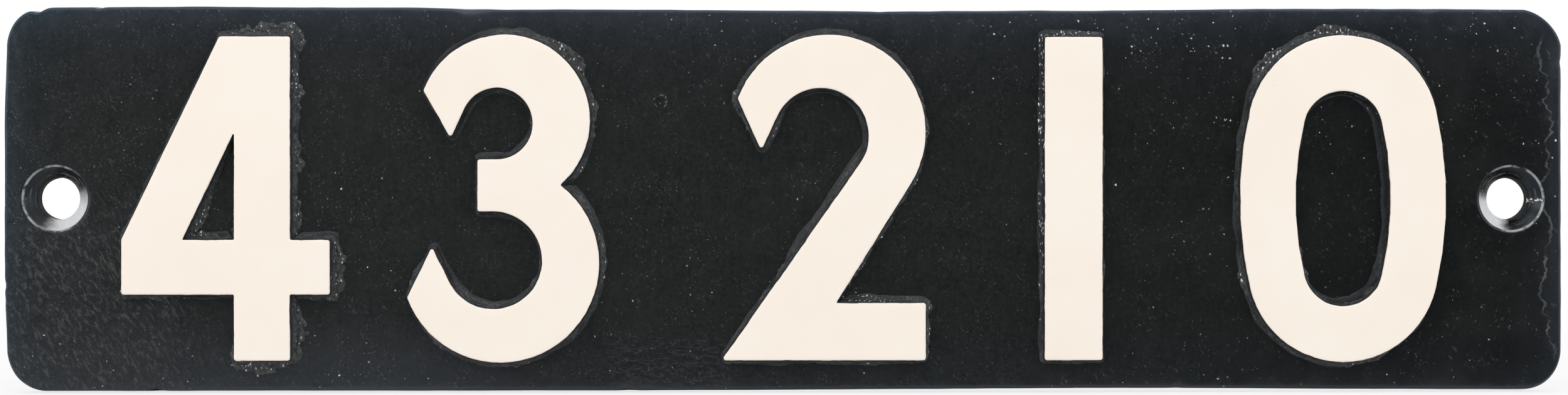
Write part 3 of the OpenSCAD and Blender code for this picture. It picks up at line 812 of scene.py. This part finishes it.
def weathered(x, z, height):
    """Points of the drawn ground, moved to where the mould and the years left them. The back stays flat."""
    x, z = uneven_corners(x, z)
    front = smooth(height, 5.0, 9.4)
    rise = ground_height(x, z) * front
    edge_noise = 0.1 * noise(x * 1.3 + height * 3, z + height * 2, 5, 31)
    x, z = cast_outline(x, z)
    for chip_x, chip_z, reach, depth in CHIPS:
        hit = depth * bell(np.hypot(np.hypot(x - chip_x, z - chip_z), 0.5 * np.maximum(0, 6 - height)), reach)
        rise = rise - 1.3 * hit * front
        x = x - np.sign(x) * hit * (abs(chip_x) > 290)
        z = z - np.sign(z) * hit * (abs(chip_z) > 70)
    for facet_x, facet_z, reach, depth in FACETS:
        flat = np.clip(1.35 - np.hypot((x - facet_x) / reach, (z - facet_z) / (0.45 * reach)), 0, 1)
        rise = rise - depth * flat * front
    height = np.where(height > 0.05, np.maximum(height + rise + edge_noise * front, 0.02), height)
    return np.column_stack([x, height, z])


def mark_ground(mesh):
    """Marks for the paint: a painted bluish reflection along the edges, bare edges, and parts with many specks and
    painted glints.
    """
    place = np.empty(3 * len(mesh.vertices))
    mesh.vertices.foreach_get("co", place)
    x, y, z = (place.reshape(-1, 3) / MM).T
    worn = np.max([0.5 * depth * bell(np.hypot((x - facet_x) / reach, (z - facet_z + 1.2) / 1.6), 1)
                   for facet_x, facet_z, reach, depth in FACETS], axis=0)
    # The front of the top edge is bare at the right
    fringe = HEIGHT_HALF - waist(x, z) - z
    worn = np.maximum(worn, smooth(fringe, 1.0, 0.35) * smooth(x, 165, 195) * smooth(y, -5, -8))
    add_marks(mesh, {"edge_reflection": painted_edge_reflection(x, z), "worn": np.clip(worn, 0, 1), "glitter": spots(GLITTER, x, z)})


def make_ground(material):
    # Rings of points from the back, round the edge and in over the front, and a grid of points inside them
    places, normals = plate_outline(CORNER_RADIUS)
    count = len(places)
    section = edge_section()
    section += [(inset, GROUND) for inset in np.arange(section[-1][0] + GRID, CORNER_RADIUS - 0.4 * GRID, GRID)]
    rings = [places - inset * normals for inset, _ in section]
    heights = [np.full(count, height) - (height > 5) * np.interp(inset, ROLL_AT, ROLL) for inset, height in section]
    half_x, half_z = LENGTH_HALF - CORNER_RADIUS - GRID * 0.6, HEIGHT_HALF - CORNER_RADIUS - GRID * 0.6
    columns = np.linspace(-half_x, half_x, round(2 * half_x / GRID) + 1)
    rows = np.linspace(-half_z, half_z, round(2 * half_z / GRID) + 1)
    grid_x, grid_z = np.meshgrid(columns, rows)
    points = weathered(np.concatenate([r[:, 0] for r in rings] + [grid_x.ravel()]),
                       np.concatenate([r[:, 1] for r in rings] + [grid_z.ravel()]),
                       np.concatenate(heights + [np.full(grid_x.size, GROUND)]))
    faces = []
    for level in range(len(section) - 1):
        faces += ring_faces(level * count, (level + 1) * count, count)
    faces.append(tuple(range(count))[::-1])
    first = len(section) * count
    quads, border = grid_faces(first, len(rows), len(columns))
    faces += quads + zip_loops(list(range(first - count, first)), border, points[:, [0, 2]].tolist())
    ground = make_piece("plate_ground", points, faces, material)
    cut_holes(ground, material)
    mark_ground(ground.data)
    finish_piece(ground, "ground_plate", GROUND_SHARP)


# Relief and coat of the numerals

# Sections of the relief and of its coat: (distance out from the edge of the face, height from its top), and the
# heights of their flat soles above the back
WALL = [(-1.4, -0.05), (-0.5, -0.05), (-0.22, -0.09), (-0.04, -0.2), (0.06, -0.42), (0.24, -0.95), (0.48, -1.65),
        (0.74, -2.4), (0.98, -3.05), (1.22, -3.55), (1.5, -3.92), (1.84, -4.18), (2.2, -4.34), (2.7, -4.46),
        (3.2, -4.6), (3.7, -5.1)]
WALL_OUT, WALL_DOWN = zip(*WALL)
WALL_SOLE = GROUND - 3.5
COAT = [(-3.2, 0.0), (-1.5, -0.005), (-0.8, -0.02), (-0.42, -0.06), (-0.24, -0.13), (-0.16, -0.24), (-0.14, -0.42)]
COAT_OUT, COAT_DOWN = zip(*COAT)
COAT_SOLE = GROUND + COAT_TOP - 0.5


def edge_sway(loop, _step):
    """How far the edge of a face strays from its drawn line, the same at every step."""
    x, z = loop.T
    return 0.16 * noise(x, z, 9, 41) + 0.12 * noise(x, z, 3.0, 42) + 0.06 * noise(x, z, 1.4, 49)


def wall_sway(loop, step):
    """How far a wall strays at a step, more so towards its foot."""
    x, z = loop.T
    rough = noise(x + 3 * step, z - 2 * step, 3.2, 43) + 0.7 * noise(x - step, z + step, 1.6, 44)
    wide = 0.55 * noise(x, z, 15, 45) + 0.35 * noise(x, z, 6, 50)
    return edge_sway(loop, step) + smooth(step, 0.0, 1.6) * (0.36 * rough + wide)


def relief_shape(place, went, normals):
    """Heights and marks of a ring of the relief."""
    x, z = place.T
    flash, body = flash_height(x, z, went)
    # Walls are widest where they look up, and those that look up or towards the middle of the plate get a painted grey
    # sheen, as if lit from above
    inward = -normals[:, 0] * np.sign(x)
    wide = (0.5 + 0.45 * smooth(normals[:, 1], 0.0, 0.8) + 0.12 * smooth(-normals[:, 1], 0.0, 0.8)
            + 0.16 * inward)
    wide = np.clip(wide + 0.18 * noise(x, z, 9, 51) + 0.1 * noise(x, z, 4, 52), 0.32, 1.25)
    height = GROUND + np.maximum(RELIEF + np.interp(went / np.where(went > 0, wide, 1), WALL_OUT, WALL_DOWN), flash)
    looks = np.maximum(smooth(normals[:, 1], 0.05, 0.7) * (0.65 + 0.35 * smooth(inward, -0.9, 0.1)),
                       0.34 * smooth(inward, 0.4, 0.95))
    # Painted reflection: a pale line at the foot of walls that look down
    foot = 0.5 * bell(went / wide - 2.1, 0.25) * smooth(-normals[:, 1], 0.1, 0.6)
    uneven = np.clip(0.55 + 0.75 * noise(x, z, 13, 46) + 0.4 * noise(x, z, 4, 47), 0, 1)
    start = 0.16 + 0.16 * noise(x, z, 4, 48)
    on_wall = smooth(went, start, start + 0.3) * smooth(went / wide, 2.9, 1.3)
    # The painted sheen also covers what ran out round a numeral
    band = np.maximum(looks * uneven * on_wall + foot, 0.8 * body * smooth(went, 0.1, 0.5))
    columns = np.clip(bell(went / wide - 0.6, 0.6) + bell(went / wide - 2.1, 0.6), 0, 1)
    # Painted glints in two columns along the listed walls, and a few on what ran out
    glint = spots(GLINTS, x, z) * columns + 0.3 * body * (went > 1.2)
    side = smooth(went, -0.1, 0.2) * smooth(went / wide, 3.4, 2.0)
    return height, {"side": side, "band": np.clip(band, 0, 1), "glint": np.clip(glint, 0, 1)}


def coat_shape(_place, went, _normals):
    """Heights and marks of a ring of the coat."""
    down = np.interp(went, COAT_OUT, COAT_DOWN)
    return GROUND + COAT_TOP + down - 0.01, {"rim": np.interp(-down, [0.03, 0.29], [0, 1])}


def make_relief(name, outline, material):
    apron = np.arange(WALL_OUT[-1] + APRON_STEP, APRON_REACH, APRON_STEP)
    points, faces, marks = loft(outline, [*WALL_OUT, *apron], relief_shape, wall_sway, WALL_SOLE)
    relief = make_piece("relief_" + name, points, faces, material, marks)
    finish_piece(relief, "numeral_" + name, NUMERAL_SHARP)


def make_coat(name, outline, material):
    points, faces, marks = loft(outline, COAT_OUT, coat_shape, edge_sway, COAT_SOLE)
    coat = make_piece("coat_" + name, points, faces, material, marks)
    finish_piece(coat, "enamel_" + name, NUMERAL_SHARP)


# Stage

# Half width and depth of the table top and the place of its front edge, in metres
FLOOR_REACH, FLOOR_FRONT = 3, -0.02
# Brightness of the room in front of the plate from left to right, at its sides, and as even light on the plate
FRONT_DIM = (0.232, 0.035)
ROOM_LEVEL = 0.62
ROOM_TINT = (0.76, 0.98, 1.22, 1)
WORLD_LEVEL = 0.77
# Lamps that look at the plate: name, place in metres, size in metres, watts
LAMPS = [("top", (0.0, -1.1, 1.5), (2.6, 1.5), 12.5), ("left", (-1.6, -0.9, 0.5), (1.2, 1.2), 5.7),
         ("right", (1.6, -0.9, 0.5), (1.2, 1.2), 4.6)]
# The camera: sensor and lens in mm, distance in metres, turn to the right in degrees, and its shift in metres
SENSOR, LENS = 36, 53.55
EYE_DISTANCE, EYE_TURN = 0.9, 0.6
EYE_LEFT, EYE_UP = 0.0005, 0.0004


def make_floor():
    """A pale table top that the plate stands on, near its front edge."""
    mesh = bpy.data.meshes.new("floor")
    low, wide, front = cad_box[0].z, FLOOR_REACH, FLOOR_FRONT
    mesh.from_pydata([(-wide, front, low), (wide, front, low), (wide, wide, low), (-wide, wide, low)], [],
                     [(0, 1, 2, 3)])
    material = bpy.data.materials.new("floor")
    material.use_nodes = True
    tree = material.node_tree
    node = partial(add_node, tree)
    surface = tree.nodes["Principled BSDF"]
    surface.inputs["Base Color"].default_value = (0.93, 0.93, 0.93, 1)
    surface.inputs["Roughness"].default_value = 0.8
    surface.inputs["Specular IOR Level"].default_value = 0.2
    ray = node("ShaderNodeLightPath").outputs
    seen = add_math(tree, "MAXIMUM", ray["Is Camera Ray"], ray["Is Transmission Ray"])
    # White far from the plate, and shaded by it nearby
    away = node("ShaderNodeVectorMath", {0: node("ShaderNodeTexCoord").outputs["Object"]}, operation="LENGTH")
    share = add_math(tree, "MULTIPLY", seen, add_ramp(tree, away.outputs["Value"], 0.3, 1.0, 0.75, 1.0))
    white = node("ShaderNodeEmission")
    mixed = node("ShaderNodeMixShader", {0: share, 1: surface.outputs[0], 2: white.outputs[0]})
    tree.links.new(mixed.outputs[0], tree.nodes["Material Output"].inputs["Surface"])
    mesh.materials.append(material)
    floor = new_object("floor", mesh)


def make_world():
    """White to the camera, and to mirrors behind the plate, but dim on the camera's side of the room."""
    world = bpy.data.worlds.new("studio")
    bpy.context.scene.world = world
    world.use_nodes = True
    tree = world.node_tree
    tree.nodes.clear()
    node, combined, ramp = partial(add_node, tree), partial(add_math, tree), partial(add_ramp, tree)

    def mixed(share, low, high):
        return node("ShaderNodeMix", {0: share, 2: low, 3: high}, data_type="FLOAT").outputs[0]

    ray = node("ShaderNodeLightPath").outputs
    right, away, _ = node("ShaderNodeSeparateXYZ", {0: node("ShaderNodeTexCoord").outputs["Generated"]}).outputs
    dim = ramp(right, -0.4, 0.4, *FRONT_DIM, kind="LINEAR")
    aside = ramp(away, -0.99, -0.1, kind="LINEAR")
    behind = ramp(away, 0.5, 0.8)
    mirrored = combined("MAXIMUM", ray["Is Glossy Ray"], ray["Is Transmission Ray"])
    mirror = mixed(behind, mixed(aside, dim, ROOM_LEVEL), 1.0)
    level = mixed(ray["Is Camera Ray"], mixed(mirrored, WORLD_LEVEL, mirror), 1.0)
    # Mirrors show the sides of the room in a cool tint
    share = combined("MULTIPLY", combined("MULTIPLY", mirrored, aside), combined("SUBTRACT", 1.0, behind))
    tint = node("ShaderNodeMix", {0: share, 6: (1, 1, 1, 1), 7: ROOM_TINT}, data_type="RGBA").outputs[2]
    background = node("ShaderNodeBackground", {"Color": tint, "Strength": level})
    tree.links.new(background.outputs[0], node("ShaderNodeOutputWorld").inputs["Surface"])


def make_lamps():
    for name, place, size, watts in LAMPS:
        light = bpy.data.lights.new(name, "AREA")
        light.shape = "RECTANGLE"
        light.size, light.size_y = size
        light.energy = watts
        lamp = new_object(name, light)
        lamp.location = place
        lamp.rotation_euler = (-Vector(place)).to_track_quat("-Z", "Y").to_euler()


def make_camera():
    camera = bpy.data.cameras.new("camera")
    camera.sensor_width = SENSOR
    camera.lens = LENS
    eye = new_object("camera", camera)
    yaw = math.radians(EYE_TURN)
    eye.location = (-EYE_DISTANCE * math.sin(yaw) - EYE_LEFT, -EYE_DISTANCE * math.cos(yaw), EYE_UP)
    eye.rotation_euler = (math.pi / 2, 0, -yaw)
    bpy.context.scene.camera = eye


make_camera()
make_floor()
make_world()
make_lamps()
bpy.context.scene.view_settings.view_transform = "Standard"

outlines = {name: Outline("numeral_" + name) for name in NUMERALS}
black, cream = black_enamel(), cream_enamel()
make_ground(black)
for numeral in NUMERALS:
    make_relief(numeral, outlines[numeral], black)
    make_coat(numeral, outlines[numeral], cream)
